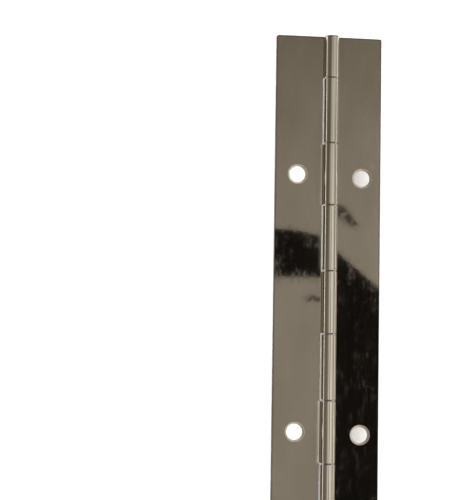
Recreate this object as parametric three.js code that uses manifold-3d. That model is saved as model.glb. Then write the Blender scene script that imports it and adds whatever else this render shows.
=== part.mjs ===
// Piano hinge: two leaves of thin plated sheet steel, each with its own row of rolled knuckles,
// turning on one straight wire pin. The hinge lies open and flat with the barrel upwards.
// Millimetres. X runs across the leaves, Y along the pin, Z up from the back faces.

import * as THREE from 'three';
import { mergeVertices, toCreasedNormals } from 'three/addons/utils/BufferGeometryUtils.js';
import Module from 'manifold-3d';

// Overall size
const LENGTH = 240;
const LEFT_LEAF_WIDTH = 13.0; // pin axis to outer edge
const RIGHT_LEAF_WIDTH = 12.2;
const PIN_X = (LEFT_LEAF_WIDTH - RIGHT_LEAF_WIDTH) / 2;
const LEAF_CORNER_RADIUS = 0.5;

// Sheet and barrel
const SHEET = 0.7;
const BARREL_RADIUS = 1.7;
const BORE_RADIUS = BARREL_RADIUS - SHEET;
const CURL_START = -90; // degrees about the pin, where the flat leaf meets the barrel
const CURL_END = 212; // the rolled edge stops just above the leaf it came from
const CURL_STEPS = 36;

// Knuckles
const LEFT_KNUCKLE = 14.6; // length along the barrel, with half a gap at each end
const RIGHT_KNUCKLE = 15.4;
const FIRST_KNUCKLE = 10; // the cut-off knuckle at the +Y end, which belongs to the left leaf
const KNUCKLE_GAP = 0.4;
const NOTCH_EDGE = 1.85; // distance from the pin axis to the bottom of each notch

// Pin
const PIN_RADIUS = 0.95;
const PIN_INSET = 0.1; // the pin stops this much inside each end of the barrel
const PIN_CHAMFER = 0.15;
const PIN_SIDES = 36;

// Screw holes, countersunk on the barrel side
const HOLE_PITCH = 60;
const HOLES_PER_LEAF = 4;
const FIRST_HOLE = 32.75; // from the +Y end
const RIGHT_HOLES_LATE = 0.6; // the right leaf's holes sit this much further along
const LEFT_HOLE_TO_EDGE = 5.35;
const RIGHT_HOLE_TO_EDGE = 4.4;
const HOLE_RADIUS = 1.85;
const SINK_RADIUS = 2.25;
const SINK_DEPTH = SINK_RADIUS - HOLE_RADIUS; // a 90 degree countersink
const HOLE_SIDES = 32;

const CUT_MARGIN = 1; // how far cutters reach past the sheet
const CREASE_ANGLE = THREE.MathUtils.degToRad(30);

const wasm = await Module();
wasm.setup();

// Closed solid from a three.js geometry
function solidFrom(geometry) {
  geometry.deleteAttribute('normal');
  geometry.deleteAttribute('uv');
  const welded = mergeVertices(geometry, 1e-4);
  const corners = welded.index.array;
  const triangles = [];
  for (let i = 0; i < corners.length; i += 3) {
    const [a, b, c] = corners.slice(i, i + 3);
    if (a !== b && b !== c && c !== a) {
      triangles.push(a, b, c);
    }
  }
  return new wasm.Manifold(new wasm.Mesh({
    numProp: 3,
    vertProperties: new Float32Array(welded.attributes.position.array),
    triVerts: new Uint32Array(triangles),
  }));
}

// Named mesh from a solid, with its own material
function meshFrom(solid, name, color) {
  const { vertProperties, triVerts } = solid.getMesh();
  const indexed = new THREE.BufferGeometry();
  indexed.setAttribute('position', new THREE.BufferAttribute(new Float32Array(vertProperties), 3));
  indexed.setIndex(new THREE.BufferAttribute(new Uint32Array(triVerts), 1));
  const geometry = toCreasedNormals(indexed, CREASE_ANGLE);
  const material = new THREE.MeshStandardMaterial({ color, metalness: 1, roughness: 0.25 });
  const mesh = new THREE.Mesh(geometry, material);
  mesh.name = name;
  return mesh;
}

// Breaks between knuckles along the barrel, from the +Y end to the -Y end
function knuckleBreaks() {
  const breaks = [LENGTH / 2];
  let y = LENGTH / 2 - FIRST_KNUCKLE;
  while (y > -LENGTH / 2) {
    breaks.push(y);
    y -= breaks.length % 2 === 0 ? RIGHT_KNUCKLE : LEFT_KNUCKLE;
  }
  breaks.push(-LENGTH / 2);
  return breaks;
}

// Points on an arc about the pin axis, which stands at height BARREL_RADIUS
function arcPoints(radius, fromDegrees, toDegrees) {
  const points = [];
  for (let step = 0; step <= CURL_STEPS; step += 1) {
    const degrees = fromDegrees + ((toDegrees - fromDegrees) * step) / CURL_STEPS;
    const angle = THREE.MathUtils.degToRad(degrees);
    points.push([radius * Math.cos(angle), BARREL_RADIUS + radius * Math.sin(angle)]);
  }
  return points;
}

// Flat leaf and rolled edge in one strip. side is -1 for the left leaf and 1 for the right.
function leafStrip(side, width) {
  const profile = [
    [-width, 0],
    ...arcPoints(BARREL_RADIUS, CURL_START, CURL_END),
    ...arcPoints(BORE_RADIUS, CURL_END, CURL_START),
    [-width, SHEET],
  ];
  const shape = new THREE.Shape(profile.map(([x, z]) => new THREE.Vector2(PIN_X - side * x, z)));
  const strip = new THREE.ExtrudeGeometry(shape, { depth: LENGTH, bevelEnabled: false });
  strip.rotateX(Math.PI / 2);
  strip.translate(0, LENGTH / 2, 0);
  return solidFrom(strip);
}

// Space for one knuckle of the other leaf, cut out of this leaf's rolled edge
function notchCutter(side, yTop, yBottom) {
  const nearX = side * NOTCH_EDGE;
  const farX = -side * (BARREL_RADIUS + CUT_MARGIN);
  const height = 2 * BARREL_RADIUS + 2 * CUT_MARGIN;
  const box = new THREE.BoxGeometry(Math.abs(nearX - farX), yTop - yBottom, height);
  box.translate(PIN_X + (nearX + farX) / 2, (yTop + yBottom) / 2, BARREL_RADIUS);
  return solidFrom(box);
}

// Countersunk screw hole: a straight bore opening into a cone at the sheet's upper face
function screwHoleCutter(x, y) {
  const boreHeight = SHEET + 2 * CUT_MARGIN;
  const bore = new THREE.CylinderGeometry(HOLE_RADIUS, HOLE_RADIUS, boreHeight, HOLE_SIDES);
  bore.rotateX(Math.PI / 2);
  bore.translate(x, y, SHEET / 2);
  const coneHeight = SINK_DEPTH + CUT_MARGIN;
  const coneTop = HOLE_RADIUS + coneHeight;
  const cone = new THREE.CylinderGeometry(coneTop, HOLE_RADIUS, coneHeight, HOLE_SIDES);
  cone.rotateX(Math.PI / 2);
  cone.translate(x, y, SHEET - SINK_DEPTH + coneHeight / 2);
  return solidFrom(bore).add(solidFrom(cone));
}

// Waste outside the small radius on an outer corner of a leaf
function cornerCutter(side, end) {
  const r = LEAF_CORNER_RADIUS;
  const waste = new THREE.Shape();
  waste.moveTo(0, r);
  waste.absarc(r, r, r, Math.PI, 1.5 * Math.PI, false);
  waste.lineTo(r, -CUT_MARGIN);
  waste.lineTo(-CUT_MARGIN, -CUT_MARGIN);
  waste.lineTo(-CUT_MARGIN, r);
  const points = waste.extractPoints(4).shape.map(({ x, y }) => new THREE.Vector2(
    side * ((LEFT_LEAF_WIDTH + RIGHT_LEAF_WIDTH) / 2 - x),
    end * (LENGTH / 2 - y),
  ));
  const depth = SHEET + 2 * CUT_MARGIN;
  const cutter = new THREE.ExtrudeGeometry(new THREE.Shape(points), { depth, bevelEnabled: false });
  cutter.translate(0, 0, -CUT_MARGIN);
  return solidFrom(cutter);
}

// One whole leaf. firstKnuckle is 0 if the leaf owns the knuckle at the +Y end, otherwise 1.
function leaf({ side, width, firstKnuckle, holeX, firstHole }) {
  let solid = leafStrip(side, width);
  const breaks = knuckleBreaks();
  for (let knuckle = 1 - firstKnuckle; knuckle < breaks.length - 1; knuckle += 2) {
    const yTop = breaks[knuckle] + (knuckle === 0 ? CUT_MARGIN : KNUCKLE_GAP / 2);
    const isLast = knuckle === breaks.length - 2;
    const yBottom = breaks[knuckle + 1] - (isLast ? CUT_MARGIN : KNUCKLE_GAP / 2);
    solid = solid.subtract(notchCutter(side, yTop, yBottom));
  }
  for (let hole = 0; hole < HOLES_PER_LEAF; hole += 1) {
    const y = LENGTH / 2 - firstHole - hole * HOLE_PITCH;
    solid = solid.subtract(screwHoleCutter(holeX, y));
  }
  for (const end of [-1, 1]) {
    solid = solid.subtract(cornerCutter(side, end));
  }
  return solid;
}

// Straight wire with a small chamfer on each end
function pin() {
  const half = LENGTH / 2 - PIN_INSET;
  const profile = [
    new THREE.Vector2(0, -half),
    new THREE.Vector2(PIN_RADIUS - PIN_CHAMFER, -half),
    new THREE.Vector2(PIN_RADIUS, -half + PIN_CHAMFER),
    new THREE.Vector2(PIN_RADIUS, half - PIN_CHAMFER),
    new THREE.Vector2(PIN_RADIUS - PIN_CHAMFER, half),
    new THREE.Vector2(0, half),
  ];
  const wire = new THREE.LatheGeometry(profile, PIN_SIDES);
  wire.translate(PIN_X, 0, BARREL_RADIUS);
  return solidFrom(wire);
}

const outerEdge = (LEFT_LEAF_WIDTH + RIGHT_LEAF_WIDTH) / 2;

const leftLeaf = leaf({
  side: -1,
  width: LEFT_LEAF_WIDTH,
  firstKnuckle: 0,
  holeX: -outerEdge + LEFT_HOLE_TO_EDGE,
  firstHole: FIRST_HOLE,
});

const rightLeaf = leaf({
  side: 1,
  width: RIGHT_LEAF_WIDTH,
  firstKnuckle: 1,
  holeX: outerEdge - RIGHT_HOLE_TO_EDGE,
  firstHole: FIRST_HOLE + RIGHT_HOLES_LATE,
});

const group = new THREE.Group();
group.name = 'piano_hinge';
group.add(meshFrom(leftLeaf, 'left_leaf', 0xb0a590));
group.add(meshFrom(rightLeaf, 'right_leaf', 0xb0a590));
group.add(meshFrom(pin(), 'pin', 0x9c978c));

export default group;
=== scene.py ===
"""Piano hinge lying open and flat, barrel upwards.

Each leaf is one strip of plated sheet steel, cut flat with its notches and countersunk holes and
then rolled round the wire pin. Lengths are in millimetres until a mesh is finished.
"""

import math
import random

import bmesh
import bpy
from mathutils import Matrix, Vector


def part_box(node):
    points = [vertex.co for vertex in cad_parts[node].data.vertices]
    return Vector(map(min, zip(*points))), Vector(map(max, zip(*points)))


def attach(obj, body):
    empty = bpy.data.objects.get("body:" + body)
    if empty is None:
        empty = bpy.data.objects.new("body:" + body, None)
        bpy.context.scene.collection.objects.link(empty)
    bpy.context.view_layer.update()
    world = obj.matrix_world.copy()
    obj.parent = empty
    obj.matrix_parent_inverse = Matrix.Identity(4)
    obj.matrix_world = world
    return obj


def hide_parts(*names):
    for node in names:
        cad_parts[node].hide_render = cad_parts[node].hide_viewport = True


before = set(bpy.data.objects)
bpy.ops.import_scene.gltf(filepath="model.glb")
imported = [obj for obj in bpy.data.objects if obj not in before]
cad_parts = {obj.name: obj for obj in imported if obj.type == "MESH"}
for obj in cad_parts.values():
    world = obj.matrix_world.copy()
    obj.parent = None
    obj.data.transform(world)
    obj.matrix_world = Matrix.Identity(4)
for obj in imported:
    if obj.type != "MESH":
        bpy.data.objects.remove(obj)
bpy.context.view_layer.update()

MM = 0.001

# Sheet and barrel, as in the CAD model
SHEET = 0.7
BARREL_RADIUS = 1.7
CURL_DEGREES = 302
CURL_STEP = 4
LIP_DEGREES = 10
NOTCH_EDGE = 1.85

# Knuckles, measured along the barrel from the +Y end
HALF_LENGTH = 120.0
FIRST_KNUCKLE = 10.0
LEFT_KNUCKLE = 14.6
RIGHT_KNUCKLE = 15.4
KNUCKLE_GAP = 0.4

# Screw holes
HOLE_PITCH = 60.0
HOLES_PER_LEAF = 4
HOLE_RADIUS = 1.85
SINK_RADIUS = 2.25
LEFT_HOLE_TO_EDGE = 5.35
RIGHT_HOLE_TO_EDGE = 4.4
FIRST_LEFT_HOLE = 32.75
FIRST_RIGHT_HOLE = 33.35
PATCH_HALF = 3.0
PATCH_CELLS = 12

# Finish of the sheet metal's edges, and the width of the painted shade beside them
CORNER_RADIUS = 0.5
NOTCH_FILLET = 0.25
EDGE_BEVEL = 0.1
SHARP_ANGLE = math.radians(35)
OUTER_EDGE = 12.6
# Width of the painted shade beside the outer edges and the two ends
PAINTED_EDGE_SHADE = 0.45
FLECK_ROUGHNESS = 0.09
CUT_ROUGHNESS = 0.5
CUT_SLOPE = 0.97  # faces steeper than this belong to a cut edge
ROW_STEP = 2.6
COLUMN_STEP = 1.6

# The root of each tongue is lifted a little, by amounts that repeat along the leaf
RISE_START = 2.8
RISE_TOP = 1.65
RISE_END = 0.6
RISE_MARGIN = 0.6
LEFT_RISES = (0.0, 0.034, 0.012, 0.038)
RIGHT_RISES = (0.004, 0.0, 0.006)


# ---------------------------------------------------------------- leaf layout

def leaf_layout(node, side, first_owned, hole_to_edge, first_hole):
    """What one leaf needs, with its outline read from the CAD node's box."""
    low, high = (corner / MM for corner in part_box(node))
    pin_low, pin_high = (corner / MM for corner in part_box("pin"))
    pin_x = (pin_low.x + pin_high.x) / 2
    outer_x = low.x if side < 0 else high.x
    return {
        "node": node,
        "side": side,
        "pin_x": pin_x,
        "width": abs(outer_x - pin_x),
        "y_low": low.y,
        "y_high": high.y,
        "first_owned": first_owned,
        "hole_u": hole_to_edge,
        "hole_ys": [HALF_LENGTH - first_hole - HOLE_PITCH * k for k in range(HOLES_PER_LEAF)],
    }


def knuckle_breaks():
    """Middle of every gap between knuckles, with the two ends of the barrel."""
    breaks = [HALF_LENGTH]
    y = HALF_LENGTH - FIRST_KNUCKLE
    while y > -HALF_LENGTH:
        breaks.append(y)
        y -= RIGHT_KNUCKLE if len(breaks) % 2 == 0 else LEFT_KNUCKLE
    breaks.append(-HALF_LENGTH)
    return breaks


def owned_spans(leaf):
    """(low y, high y) of each knuckle rolled from this leaf."""
    breaks = knuckle_breaks()
    spans = []
    for k in range(leaf["first_owned"], len(breaks) - 1, 2):
        high = leaf["y_high"] if k == 0 else breaks[k] - KNUCKLE_GAP / 2
        is_last = k == len(breaks) - 2
        low = leaf["y_low"] if is_last else breaks[k + 1] + KNUCKLE_GAP / 2
        spans.append((low, high))
    return spans


def divided(cuts, step, fine_spans):
    """Cuts with even divisions between them: PATCH_CELLS inside a fine span, otherwise by step."""
    cuts = sorted(cuts)
    filled = [cuts[0]]
    for low, high in zip(cuts, cuts[1:]):
        middle = (low + high) / 2
        is_fine = any(a < middle < b for a, b in fine_spans)
        count = PATCH_CELLS if is_fine else max(1, math.ceil((high - low) / step))
        filled += [low + (high - low) * (n + 1) / count for n in range(count)]
    return filled


def leaf_rows(leaf):
    patches = [(y - PATCH_HALF, y + PATCH_HALF) for y in leaf["hole_ys"]]
    cuts = {leaf["y_low"], leaf["y_high"]}
    for low, high in patches:
        cuts |= {low, high}
    for low, high in owned_spans(leaf):
        cuts |= {low, high}
        cuts |= {max(low - RISE_MARGIN, leaf["y_low"]), min(high + RISE_MARGIN, leaf["y_high"])}
    return divided(cuts, ROW_STEP, patches)


def leaf_columns(leaf):
    """Stations across the strip: millimetres from the outer edge on the flat, then degrees of roll."""
    width = leaf["width"]
    patch = (leaf["hole_u"] - PATCH_HALF, leaf["hole_u"] + PATCH_HALF)
    notch = width - NOTCH_EDGE
    cuts = {0.0, *patch, width - RISE_START, notch, width}
    cuts |= {width - RISE_TOP + (RISE_TOP - RISE_END) * n / 4 for n in range(5)}
    flat = divided(cuts, COLUMN_STEP, [patch])
    steps = math.ceil((CURL_DEGREES - LIP_DEGREES) / CURL_STEP)
    rolled = [width + (CURL_DEGREES - LIP_DEGREES) * (n + 1) / steps for n in range(steps)]
    return flat + rolled + [width + CURL_DEGREES]


# ---------------------------------------------------------------- leaf mesh

def smoothstep(value, low, high):
    t = min(1, max(0, (value - low) / (high - low)))
    return t * t * (3 - 2 * t)


def knuckle_habits(leaf):
    """Small differences from one knuckle to the next."""
    dice = random.Random(11 if leaf["side"] < 0 else 23)
    rises = LEFT_RISES if leaf["side"] < 0 else RIGHT_RISES
    return [
        {
            "rise": rises[k % len(rises)],
            "shrink": dice.uniform(0.002, 0.022),
            "short": dice.uniform(0, 5),
            "lobe": dice.uniform(0.003, 0.014),
            "phase": dice.uniform(0, 2 * math.pi),
            "reach": dice.uniform(-0.02, 0.06),
            "spread": dice.uniform(0.03, 0.08),
            "middle": (low + high) / 2,
            "half": (high - low) / 2,
        }
        for k, (low, high) in enumerate(owned_spans(leaf))
    ]


def sheet_point(leaf, station, y, height, habit):
    """Where a point of the flat pattern ends up. height is measured up from the back face."""
    width = leaf["width"]
    side = leaf["side"]
    if station <= width:
        across = width - station
        if habit is not None:
            climb = 1 - max(0, (across - RISE_TOP) / (RISE_START - RISE_TOP))
            height += habit["rise"] * min(max(0, climb), smoothstep(across, RISE_END, RISE_TOP))
        return Vector((leaf["pin_x"] + side * across, y, height))
    turn = station - width
    onset = smoothstep(turn, 0, 40)
    turn -= habit["short"] * onset * turn / CURL_DEGREES
    wobble = habit["lobe"] * (1 + math.sin(3 * math.radians(turn) + habit["phase"]))
    radius = BARREL_RADIUS - height - onset * (habit["shrink"] + wobble)
    angle = math.radians(turn - 90)
    offset = -side * radius * math.cos(angle)
    share = (y - habit["middle"]) / habit["half"]
    y += onset * share * (habit["reach"] + habit["spread"] * max(0, offset / BARREL_RADIUS))
    y = min(max(y, leaf["y_low"]), leaf["y_high"])
    return Vector((leaf["pin_x"] + offset, y, BARREL_RADIUS + radius * math.sin(angle)))


def build_cells(bm, leaf, rows, columns):
    """Front and back faces of the strip and the walls between them. Returns the corner lookup."""
    width = leaf["width"]
    notch = width - NOTCH_EDGE
    spans = owned_spans(leaf)
    habits = knuckle_habits(leaf)

    def knuckle_at(j):
        middle = (rows[j] + rows[j + 1]) / 2
        for k, (low, high) in enumerate(spans):
            if low < middle < high:
                return k
        return None

    def in_patch(i, j):
        u = (columns[i] + columns[i + 1]) / 2
        y = (rows[j] + rows[j + 1]) / 2
        near_column = abs(u - leaf["hole_u"]) < PATCH_HALF and u < notch
        return near_column and any(abs(y - hole_y) < PATCH_HALF for hole_y in leaf["hole_ys"])

    def is_solid(i, j):
        if not (0 <= i < len(columns) - 1 and 0 <= j < len(rows) - 1):
            return False
        return (columns[i] + columns[i + 1]) / 2 < notch or knuckle_at(j) is not None

    corners = {}

    def corner(i, j, height):
        key = (i, j, height)
        if key not in corners:
            owners = [knuckle_at(n) for n in (j - 1, j) if 0 <= n < len(rows) - 1]
            owners = [k for k in owners if k is not None]
            habit = habits[owners[0]] if owners else None
            corners[key] = bm.verts.new(sheet_point(leaf, columns[i], rows[j], height, habit))
        return corners[key]

    for i in range(len(columns) - 1):
        for j in range(len(rows) - 1):
            if not is_solid(i, j):
                continue
            ring = [(i, j), (i + 1, j), (i + 1, j + 1), (i, j + 1)]
            if not in_patch(i, j):
                for height in (0, SHEET):
                    bm.faces.new([corner(a, b, height) for a, b in ring])
            neighbours = [(i, j - 1), (i + 1, j), (i, j + 1), (i - 1, j)]
            for n, beyond in enumerate(neighbours):
                if not is_solid(*beyond):
                    (a, b), (c, d) = ring[n], ring[(n + 1) % 4]
                    wall = [(a, b, 0), (c, d, 0), (c, d, SHEET), (a, b, SHEET)]
                    bm.faces.new([corner(*key) for key in wall])
    return corner


def build_hole(bm, leaf, rows, columns, corner, hole_y):
    """Countersunk hole inside its square patch of the grid, as rings of quads."""
    i0 = min(range(len(columns)), key=lambda i: abs(columns[i] - leaf["hole_u"] + PATCH_HALF))
    j0 = min(range(len(rows)), key=lambda j: abs(rows[j] - hole_y + PATCH_HALF))
    n = PATCH_CELLS
    border = [(i0 + k, j0) for k in range(n)]
    border += [(i0 + n, j0 + k) for k in range(n)]
    border += [(i0 + n - k, j0 + n) for k in range(n)]
    border += [(i0, j0 + n - k) for k in range(n)]
    centre_x = leaf["pin_x"] + leaf["side"] * (leaf["width"] - leaf["hole_u"])

    def ring(radius, height):
        points = []
        for k in range(len(border)):
            angle = 2 * math.pi * k / len(border) - 0.75 * math.pi
            x = centre_x - leaf["side"] * radius * math.cos(angle)
            y = hole_y + radius * math.sin(angle)
            points.append(bm.verts.new((x, y, height)))
        return points

    rings = [
        [corner(i, j, SHEET) for i, j in border],
        ring(SINK_RADIUS + 0.2, SHEET),
        ring(SINK_RADIUS, SHEET),
        ring(HOLE_RADIUS, SHEET - (SINK_RADIUS - HOLE_RADIUS)),
        ring(HOLE_RADIUS, 0),
        ring(HOLE_RADIUS + 0.3, 0),
        [corner(i, j, 0) for i, j in border],
    ]
    for outer, inner in zip(rings, rings[1:]):
        for k in range(len(border)):
            m = (k + 1) % len(border)
            bm.faces.new((outer[k], outer[m], inner[m], inner[k]))


def upright_edges(bm, leaf, wanted):
    """Edges through the sheet's thickness at outline corners that the test picks."""
    picked = []
    for edge in bm.edges:
        a, b = (v.co for v in edge.verts)
        is_upright = abs(a.x - b.x) + abs(a.y - b.y) < 1e-4 and abs(a.z - b.z) > SHEET / 2
        if is_upright and wanted(abs(a.x - leaf["pin_x"]), a.y):
            picked.append(edge)
    return picked


def round_outline(bm, leaf):
    """Radius on the two outer corners and a small fillet in the corners of each notch."""
    ends = (leaf["y_low"], leaf["y_high"])
    outer = upright_edges(
        bm, leaf, lambda u, y: abs(u - leaf["width"]) < 1e-3 and min(abs(y - e) for e in ends) < 1e-3
    )
    bmesh.ops.bevel(bm, geom=outer, offset=CORNER_RADIUS, segments=6, profile=0.5, affect="EDGES")
    knuckle_edges = [y for span in owned_spans(leaf) for y in span]
    inner_edges = [y for y in knuckle_edges if min(abs(y - e) for e in ends) > 1]
    fillets = upright_edges(
        bm, leaf,
        lambda u, y: abs(u - NOTCH_EDGE) < 1e-3 and min(abs(y - e) for e in inner_edges) < 1e-3,
    )
    bmesh.ops.bevel(bm, geom=fillets, offset=NOTCH_FILLET, segments=4, profile=0.5, affect="EDGES")


def break_sharp_edges(bm):
    """Small round on every sharp edge, as tumbling and plating leave it."""
    sharp = [e for e in bm.edges if e.is_manifold and e.calc_face_angle() > SHARP_ANGLE]
    bmesh.ops.bevel(
        bm, geom=sharp, offset=EDGE_BEVEL, segments=3, profile=0.5, affect="EDGES", loop_slide=True,
    )


def mesh_object(bm, name):
    """Finished bmesh in millimetres to a smooth-shaded object in metres."""
    bmesh.ops.recalc_face_normals(bm, faces=bm.faces)
    bmesh.ops.transform(bm, matrix=Matrix.Scale(MM, 4), verts=bm.verts)
    mesh = bpy.data.meshes.new(name)
    bm.to_mesh(mesh)
    bm.free()
    mesh.shade_smooth()
    hold_flats_flat(mesh)
    obj = bpy.data.objects.new(name, mesh)
    bpy.context.scene.collection.objects.link(obj)
    return obj


def hold_flats_flat(mesh):
    """Vertex normals led by the largest faces, so the small rounds don't bend the flats' reflections."""
    sums = [Vector() for _ in mesh.vertices]
    for face in mesh.polygons:
        pull = face.normal * (face.area / MM ** 2) ** 2
        for index in face.vertices:
            sums[index] += pull
    mesh.normals_split_custom_set_from_vertices([total.normalized() for total in sums])


def mark_cuts(mesh, leaf):
    """Face attributes: sheared for the blanked edges of the leaf, whose faces get painted shade and more
    roughness, drilled for the screw holes.
    """
    sheared = mesh.attributes.new("sheared", "FLOAT", "FACE").data
    drilled = mesh.attributes.new("drilled", "FLOAT", "FACE").data
    hole_x = leaf["pin_x"] + leaf["side"] * (leaf["width"] - leaf["hole_u"])
    for face in mesh.polygons:
        x, y, _ = face.center / MM
        reach = min(math.hypot(x - hole_x, y - hole_y) for hole_y in leaf["hole_ys"])
        is_edge = abs(x - leaf["pin_x"]) > NOTCH_EDGE - EDGE_BEVEL and abs(face.normal.z) < CUT_SLOPE
        in_hole = reach < SINK_RADIUS + EDGE_BEVEL
        sheared[face.index].value = float(is_edge and not in_hole)
        drilled[face.index].value = float(is_edge and in_hole)


def build_leaf(leaf, name):
    rows = leaf_rows(leaf)
    columns = leaf_columns(leaf)
    bm = bmesh.new()
    corner = build_cells(bm, leaf, rows, columns)
    for hole_y in leaf["hole_ys"]:
        build_hole(bm, leaf, rows, columns, corner, hole_y)
    bmesh.ops.recalc_face_normals(bm, faces=bm.faces)
    round_outline(bm, leaf)
    break_sharp_edges(bm)
    sheet = mesh_object(bm, name)
    mark_cuts(sheet.data, leaf)
    return sheet


# ---------------------------------------------------------------- pin mesh

PIN_RADIUS = 0.95
PIN_HALF_LENGTH = 119.9
PIN_SIDES = 48


def build_pin(name, pin_x):
    """Drawn wire with softly rounded, slightly domed ends, built as rings along Y."""
    end_profile = [(0.0, 0.0), (0.45, 0.01), (0.72, 0.03), (0.86, 0.08), (0.93, 0.16), (0.95, 0.3)]
    half = PIN_HALF_LENGTH
    profile = [(radius, -half + inset) for radius, inset in end_profile]
    profile += [(PIN_RADIUS, -half + 2 * half * n / 24) for n in range(1, 24)]
    profile += [(radius, half - inset) for radius, inset in reversed(end_profile)]
    bm = bmesh.new()
    rings = []
    for radius, y in profile[1:-1]:
        ring = []
        for k in range(PIN_SIDES):
            angle = 2 * math.pi * k / PIN_SIDES
            x = pin_x + radius * math.cos(angle)
            ring.append(bm.verts.new((x, y, BARREL_RADIUS + radius * math.sin(angle))))
        rings.append(ring)
    for a, b in zip(rings, rings[1:]):
        for k in range(PIN_SIDES):
            m = (k + 1) % PIN_SIDES
            bm.faces.new((a[k], a[m], b[m], b[k]))
    for ring, y in ((rings[0], profile[0][1]), (rings[-1], profile[-1][1])):
        tip = bm.verts.new((pin_x, y, BARREL_RADIUS))
        for k in range(PIN_SIDES):
            bm.faces.new((tip, ring[k], ring[(k + 1) % PIN_SIDES]))
    return mesh_object(bm, name)


# ---------------------------------------------------------------- materials

class Nodes:
    """Short helper for wiring one material or world."""

    def __init__(self, name, is_world=False):
        self.owner = (bpy.data.worlds if is_world else bpy.data.materials).new(name)
        self.owner.use_nodes = True
        self.tree = self.owner.node_tree
        self.tree.nodes.clear()
        kind = "ShaderNodeOutputWorld" if is_world else "ShaderNodeOutputMaterial"
        self.output = self.tree.nodes.new(kind)

    def add(self, kind, inputs=None, **settings):
        node = self.tree.nodes.new(kind)
        for key, value in settings.items():
            setattr(node, key, value)
        for key, value in (inputs or {}).items():
            if isinstance(value, bpy.types.NodeSocket):
                self.tree.links.new(value, node.inputs[key])
            else:
                node.inputs[key].default_value = value
        return node

    def noise(self, coords, stretch, scale, detail=2.0, roughness=0.5):
        mapped = self.add("ShaderNodeMapping", {"Vector": coords, "Scale": stretch})
        return self.add(
            "ShaderNodeTexNoise",
            {"Vector": mapped.outputs[0], "Scale": scale, "Detail": detail, "Roughness": roughness},
        ).outputs["Fac"]

    def ramp(self, fac, stops):
        node = self.add("ShaderNodeValToRGB", {"Fac": fac})
        elements = node.color_ramp.elements
        while len(elements) < len(stops):
            elements.new(0.5)
        for element, (position, color) in zip(elements, stops):
            element.position = position
            element.color = color if len(color) == 4 else (*color, 1)
        return node.outputs["Color"]

    def span(self, fac, low, high):
        return self.add(
            "ShaderNodeMapRange", {"Value": fac, "To Min": low, "To Max": high}
        ).outputs["Result"]

    def bump(self, height, distance, strength=1.0, normal=None):
        inputs = {"Height": height, "Distance": distance, "Strength": strength}
        if normal is not None:
            inputs["Normal"] = normal
        return self.add("ShaderNodeBump", inputs).outputs["Normal"]

    def finish(self, shader):
        self.tree.links.new(shader, self.output.inputs["Surface"])
        return self.owner


def painted_edge_shade(n, coords):
    """Painted shade: an uneven dark line beside the outer edges and the two ends."""
    axes = n.add("ShaderNodeSeparateXYZ", {0: coords}).outputs
    uneven = n.noise(coords, (1, 0.25, 1), 160, detail=3)
    reach = n.span(uneven, 0.2, 1.0)

    def near(axis, edge):
        distance = n.add("ShaderNodeMath", {0: axis}, operation="ABSOLUTE").outputs[0]
        return n.add(
            "ShaderNodeMapRange",
            {"Value": distance, "From Min": (edge - PAINTED_EDGE_SHADE) * MM, "From Max": edge * MM},
        ).outputs["Result"]

    either = n.add(
        "ShaderNodeMath",
        {0: near(axes["X"], OUTER_EDGE), 1: near(axes["Y"], HALF_LENGTH)},
        operation="MAXIMUM",
    ).outputs[0]
    return n.add("ShaderNodeMath", {0: either, 1: reach}, operation="MULTIPLY").outputs[0]


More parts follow.
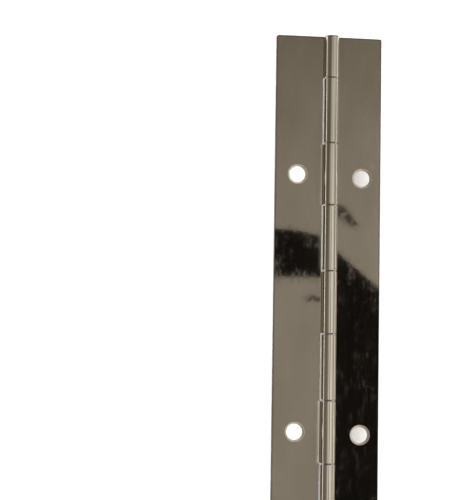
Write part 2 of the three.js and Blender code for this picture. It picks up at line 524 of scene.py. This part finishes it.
def nickel_plating():
    """Bright nickel over rolled strip: warm mirror, faint waves, rub marks and tiny pits, with painted
    shade beside the edges and on the cut faces.
    """
    n = Nodes("nickel_plating")
    coords = n.add("ShaderNodeTexCoord").outputs["Object"]
    cloud = n.noise(coords, (1, 0.5, 1), 90, detail=4)
    color = n.ramp(cloud, [(0.3, (0.60, 0.545, 0.465)), (0.7, (0.70, 0.65, 0.57))])
    pits = n.noise(coords, (1, 0.7, 1), 2600, detail=1)
    pit_mask = n.ramp(pits, [(0.78, (0, 0, 0)), (0.84, (1, 1, 1))])
    pitted = n.add(
        "ShaderNodeMix",
        {"Factor": pit_mask, "A": color, "B": (0.2, 0.17, 0.13, 1)},
        data_type="RGBA",
    )
    streaks = n.noise(coords, (1, 0.04, 1), 1500, detail=3, roughness=0.6)
    smears = n.noise(coords, (1, 0.6, 1), 160, detail=5, roughness=0.6)
    rubbed = n.add(
        "ShaderNodeMath", {0: streaks, 1: smears}, operation="MULTIPLY"
    ).outputs[0]
    polished = n.span(rubbed, 0.02, 0.08)
    flecks = n.noise(coords, (1, 0.5, 1), 700, detail=5, roughness=0.7)
    fleck_mask = n.ramp(flecks, [(0.5, (0, 0, 0)), (0.8, (1, 1, 1))])
    roughness = n.add(
        "ShaderNodeMath", {0: fleck_mask, 1: FLECK_ROUGHNESS, 2: polished}, operation="MULTIPLY_ADD"
    ).outputs[0]
    sheared = n.add("ShaderNodeAttribute", attribute_name="sheared").outputs["Fac"]
    drilled = n.add("ShaderNodeAttribute", attribute_name="drilled").outputs["Fac"]
    grain = n.noise(coords, (1, 0.8, 1), 3200, detail=2)
    grained = n.add(
        "ShaderNodeMix",
        {
            "Factor": n.span(grain, 0.0, 0.18),
            "A": pitted.outputs["Result"],
            "B": (0.3, 0.27, 0.23, 1),
        },
        data_type="RGBA",
    ).outputs["Result"]
    # Painted shade: the plating is darkened beside the outer edges and the two ends
    shaded = n.add(
        "ShaderNodeMix",
        {"Factor": painted_edge_shade(n, coords), "A": grained, "B": (0.16, 0.14, 0.12, 1)},
        data_type="RGBA",
    ).outputs["Result"]
    # Painted shade: the sheared faces of the cut edges are coloured dark
    color_with_painted_cut_shade = n.add(
        "ShaderNodeMix",
        {"Factor": sheared, "A": shaded, "B": (0.16, 0.14, 0.115, 1)},
        data_type="RGBA",
    ).outputs["Result"]
    cuts = n.add("ShaderNodeMath", {0: sheared, 1: drilled}, operation="MAXIMUM").outputs[0]
    cut_roughness = n.add(
        "ShaderNodeMix", {"Factor": cuts, "A": roughness, "B": CUT_ROUGHNESS}
    ).outputs["Result"]
    waves = n.noise(coords, (1, 0.6, 1), 45, detail=1)
    peel = n.noise(coords, (1, 1, 1), 500, detail=2)
    normal = n.bump(waves, 0.00003)
    normal = n.bump(peel, 0.0000012, normal=normal)
    normal = n.bump(streaks, 0.0000002, normal=normal)
    shader = n.add(
        "ShaderNodeBsdfPrincipled",
        {
            "Base Color": color_with_painted_cut_shade,
            "Metallic": 1.0,
            "Roughness": cut_roughness,
            "Normal": normal,
        },
    )
    return n.finish(shader.outputs[0])


def drawn_wire():
    """Plain drawn steel wire with rings from the die and a duller, speckled skin. Its dark tone is
    partly painted shade, for the gaps between the knuckles where the pin shows.
    """
    n = Nodes("drawn_wire")
    coords = n.add("ShaderNodeTexCoord").outputs["Object"]
    cloud = n.noise(coords, (1, 0.4, 1), 400, detail=4)
    # Dark steel tone, partly painted shade for the gaps between the knuckles
    color = n.ramp(cloud, [(0.3, (0.2, 0.18, 0.15)), (0.7, (0.42, 0.38, 0.33))])
    draw_lines = n.noise(coords, (1, 0.02, 1), 6000, detail=3)
    roughness = n.span(draw_lines, 0.25, 0.5)
    normal = n.bump(draw_lines, 0.000002)
    shader = n.add(
        "ShaderNodeBsdfPrincipled",
        {"Base Color": color, "Metallic": 1.0, "Roughness": roughness, "Normal": normal},
    )
    return n.finish(shader.outputs[0])


# ---------------------------------------------------------------- stage

def emitter(name, color, strength):
    n = Nodes(name)
    shader = n.add("ShaderNodeEmission", {"Color": (*color, 1), "Strength": strength})
    return n.finish(shader.outputs[0])


def stage_card(name, corners, material):
    """Flat card seen only in reflections."""
    mesh = bpy.data.meshes.new(name)
    mesh.from_pydata([Vector(c) * MM for c in corners], [], [tuple(range(len(corners)))])
    card = bpy.data.objects.new(name, mesh)
    bpy.context.scene.collection.objects.link(card)
    mesh.materials.append(material)
    card.visible_camera = False
    card.visible_diffuse = False
    card.visible_shadow = False
    return card


# The left leaf lies on a low step, so the right leaf is free to swing down past its edge
FLOOR_DROP = 10.8
FLOOR_GAP = 0.01
STEP_EDGE = -1.33
FLOOR_REACH = 4000


def build_floor():
    """Plain pale floor with one step in it, just below the back of the leaves."""
    n = Nodes("pale_floor")
    coords = n.add("ShaderNodeTexCoord").outputs["Object"]
    grain = n.noise(coords, (1, 1, 1), 30, detail=3)
    color = n.ramp(grain, [(0.3, (0.93, 0.93, 0.92)), (0.7, (0.96, 0.96, 0.955))])
    shader = n.add(
        "ShaderNodeBsdfPrincipled",
        {"Base Color": color, "Roughness": 0.9, "Specular IOR Level": 0.0},
    )
    profile = [
        (-FLOOR_REACH, -FLOOR_GAP),
        (STEP_EDGE, -FLOOR_GAP),
        (STEP_EDGE, -FLOOR_DROP),
        (FLOOR_REACH, -FLOOR_DROP),
    ]
    corners = [(x, y, z) for x, z in profile for y in (-FLOOR_REACH, FLOOR_REACH)]
    faces = [(2 * k, 2 * k + 1, 2 * k + 3, 2 * k + 2) for k in range(len(profile) - 1)]
    mesh = bpy.data.meshes.new("floor")
    mesh.from_pydata([Vector(c) * MM for c in corners], [], faces)
    mesh.materials.append(n.finish(shader.outputs[0]))
    floor = bpy.data.objects.new("floor", mesh)
    bpy.context.scene.collection.objects.link(floor)


BACKDROP = (1, 1, 1, 1)
OVERHEAD_FILL = 3.8  # how brightly a wide soft light overhead lights the matt floor
SIDE_FILL = 0.65  # and how brightly the rest of the studio does
OVERHEAD_EDGE = 0.83  # cosine of the angle from overhead at which the soft light ends
OVERHEAD_BLUR = 0.04

# Brightness of the studio by angle from straight overhead, towards +X in degrees
SIDE_GLOW = [
    (-90, 0.23), (-78, 0.21), (-66, 0.17), (-50, 0.15), (-34, 0.19), (-18, 0.35), (-3, 0.64),
    (7.6, 0.76), (8.8, 0.26), (14.6, 0.3), (15.8, 0.9),
    (30, 0.86), (48, 0.68), (68, 0.45), (90, 0.33),
]
# The same along the pin, as a share of the brightness above
LENGTH_GLOW = [
    (-90, 1.3), (-30, 1.3), (-6, 1.14), (-1.6, 1.23), (3.6, 1.2),
    (8, 1.07), (12, 0.78), (24, 1.2), (90, 1.3),
]


def build_world():
    """Soft studio for the metal to reflect, a fill for the matt floor and a plain backdrop."""
    n = Nodes("studio", is_world=True)
    coords = n.add("ShaderNodeTexCoord").outputs["Generated"]
    axes = n.add("ShaderNodeSeparateXYZ", {0: coords}).outputs

    def glow(axis, stops):
        angle = n.add("ShaderNodeMath", {0: axis, 1: axes["Z"]}, operation="ARCTAN2").outputs[0]
        share = n.add(
            "ShaderNodeMath", {0: angle, 1: 1 / math.pi, 2: 0.5}, operation="MULTIPLY_ADD"
        ).outputs[0]
        return n.ramp(share, [(degrees / 180 + 0.5, (v, v, v)) for degrees, v in stops])

    product = n.add(
        "ShaderNodeMix",
        {"Factor": 1.0, "A": glow(axes["X"], SIDE_GLOW), "B": glow(axes["Y"], LENGTH_GLOW)},
        data_type="RGBA",
        blend_type="MULTIPLY",
    ).outputs["Result"]
    tint = n.ramp(product, [(0.2, (1.0, 0.9, 0.74)), (0.6, (1.0, 0.96, 0.89))])
    tinted = n.add(
        "ShaderNodeMix", {"Factor": 1.0, "A": product, "B": tint},
        data_type="RGBA", blend_type="MULTIPLY",
    ).outputs["Result"]
    lighting = n.add("ShaderNodeBackground", {"Color": tinted, "Strength": 1.0})
    backdrop = n.add("ShaderNodeBackground", {"Color": BACKDROP, "Strength": 1.0})
    overhead = n.add(
        "ShaderNodeMapRange",
        {
            "Value": axes["Z"],
            "From Min": OVERHEAD_EDGE - OVERHEAD_BLUR,
            "From Max": OVERHEAD_EDGE + OVERHEAD_BLUR,
            "To Min": SIDE_FILL,
            "To Max": OVERHEAD_FILL,
        },
    ).outputs["Result"]
    fill = n.add("ShaderNodeBackground", {"Color": (1, 1, 1, 1), "Strength": overhead})
    rays = n.add("ShaderNodeLightPath").outputs
    lit = n.add(
        "ShaderNodeMixShader", {0: rays["Is Diffuse Ray"], 1: lighting.outputs[0], 2: fill.outputs[0]}
    )
    seen = n.add(
        "ShaderNodeMixShader", {0: rays["Is Camera Ray"], 1: lit.outputs[0], 2: backdrop.outputs[0]}
    )
    bpy.context.scene.world = n.finish(seen.outputs[0])


CAMERA_PLACE = (-77.6, 42.4, 366.3)
CAMERA_TURN = (3.982, -8.417, 0.905)  # degrees about X, Y and Z
CAMERA_LENS = 115.2
CAMERA_SENSOR = 36.0


def build_camera():
    data = bpy.data.cameras.new("camera")
    data.lens = CAMERA_LENS
    data.sensor_width = CAMERA_SENSOR
    data.clip_start = 0.01
    camera = bpy.data.objects.new("camera", data)
    camera.location = Vector(CAMERA_PLACE) * MM
    camera.rotation_euler = [math.radians(angle) for angle in CAMERA_TURN]
    bpy.context.scene.collection.objects.link(camera)
    bpy.context.scene.camera = camera


FLAG_HEIGHT = 300.0
FLAG_RIGHT = [(0.9, 71.0), (2.6, 69.4), (17.0, 57.3), (17.0, -30.0), (0.9, -30.0)]
FLAG_LEFT = [(-15.0, 74.5), (-8.0, 74.2), (-1.2, 73.0), (-1.2, 63.0), (-15.0, 63.0)]
SPOT_RIGHT = [(1.8, 80.4), (3.8, 80.0), (7.6, 75.4), (6.2, 75.0), (1.8, 78.0)]
SPOT_LEFT = [(-6.0, 58.2), (-4.6, 58.5), (-3.0, 59.2), (-2.8, 58.5), (-4.4, 57.3)]


def mirrored_card(name, outline, material):
    """Card placed so that the camera sees it mirrored over this outline on the flat leaves."""
    camera = Vector(CAMERA_PLACE)
    share = FLAG_HEIGHT / (camera.z - SHEET)
    points = []
    for x, y in outline:
        points.append((x + (x - camera.x) * share, y + (y - camera.y) * share, SHEET + FLAG_HEIGHT))
    return stage_card(name, points, material)


def build_flags():
    """Dark studio flags above the hinge, seen only as reflections in its leaves."""
    black = emitter("black_flag", (1.0, 0.86, 0.76), 0.008)
    grey = emitter("grey_flag", (1.0, 0.86, 0.72), 0.06)
    mirrored_card("flag_right", FLAG_RIGHT, black)
    mirrored_card("flag_left", FLAG_LEFT, black)
    mirrored_card("spot_right", SPOT_RIGHT, grey)
    mirrored_card("spot_left", SPOT_LEFT, grey)


# ---------------------------------------------------------------- assembly

bpy.context.scene.view_settings.view_transform = "Standard"

left = leaf_layout(
    "left_leaf", -1, first_owned=0, hole_to_edge=LEFT_HOLE_TO_EDGE, first_hole=FIRST_LEFT_HOLE
)
right = leaf_layout(
    "right_leaf", 1, first_owned=1, hole_to_edge=RIGHT_HOLE_TO_EDGE, first_hole=FIRST_RIGHT_HOLE
)
plating = nickel_plating()
wire = drawn_wire()

for leaf, body in ((left, "left_side"), (right, "right_side")):
    sheet = build_leaf(leaf, leaf["node"] + "_sheet")
    sheet.data.materials.append(plating)
    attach(sheet, body)
    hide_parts(leaf["node"])

pin = build_pin("pin_wire", left["pin_x"])
pin.data.materials.append(wire)
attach(pin, "left_side")
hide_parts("pin")

build_floor()
build_world()
build_camera()
build_flags()
